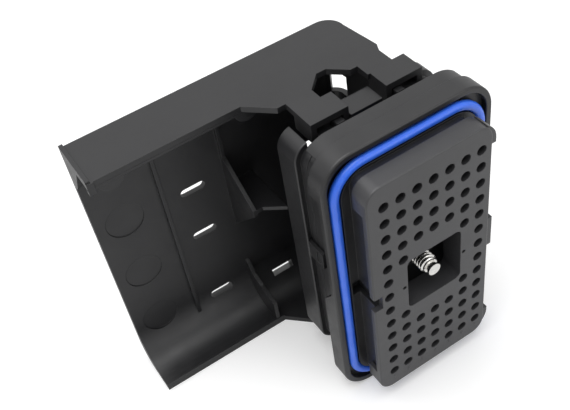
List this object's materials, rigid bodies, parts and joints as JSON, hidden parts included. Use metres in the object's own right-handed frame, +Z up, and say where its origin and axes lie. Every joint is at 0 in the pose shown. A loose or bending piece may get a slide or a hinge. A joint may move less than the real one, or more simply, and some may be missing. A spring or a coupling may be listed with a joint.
{
  "type": "sealed multiway connector plug",
  "caption": "Sealed rectangular multiway plug with a captive jackscrew, a face seal inside its hood and a right-angle cable cover on its back.",
  "frame": {"origin": "on the jackscrew's axis, in the plane of the mating face", "axes": "+X across the columns, away from the cable end; +Y back from the mating face, along the screw; +Z up the rows of contacts"},
  "size_m": [0.108, 0.068, 0.1036],
  "materials": {
    "housing_plastic": "satin black moulded",
    "plate_plastic": "satin black moulded",
    "cover_plastic": "fine-grained black moulded",
    "face_seal_rubber": "blue silicone",
    "wire_seal_rubber": "blue silicone",
    "screw_seal_rubber": "rust-red silicone",
    "screw_steel": "plated steel",
    "clip_steel": "oiled spring steel"
  },
  "bodies": {
    "connector": {"plug_housing": "housing_plastic", "index_plate": "plate_plastic", "interface_seal": "face_seal_rubber", "wire_seal": "wire_seal_rubber", "seal_retainer": "housing_plastic", "screw_seal": "screw_seal_rubber", "cable_cover": "cover_plastic"},
    "screw_set": {"jackscrew": "screw_steel", "retaining_clip": "clip_steel", "screw_washer": "screw_steel"}
  },
  "joints": [
    {"name": "jackscrew_turn", "type": "hinge", "parent": "connector", "child": "screw_set", "pos_m": [0, 0, 0], "axis": [0, 1, 0], "continuous": true}
  ]
}
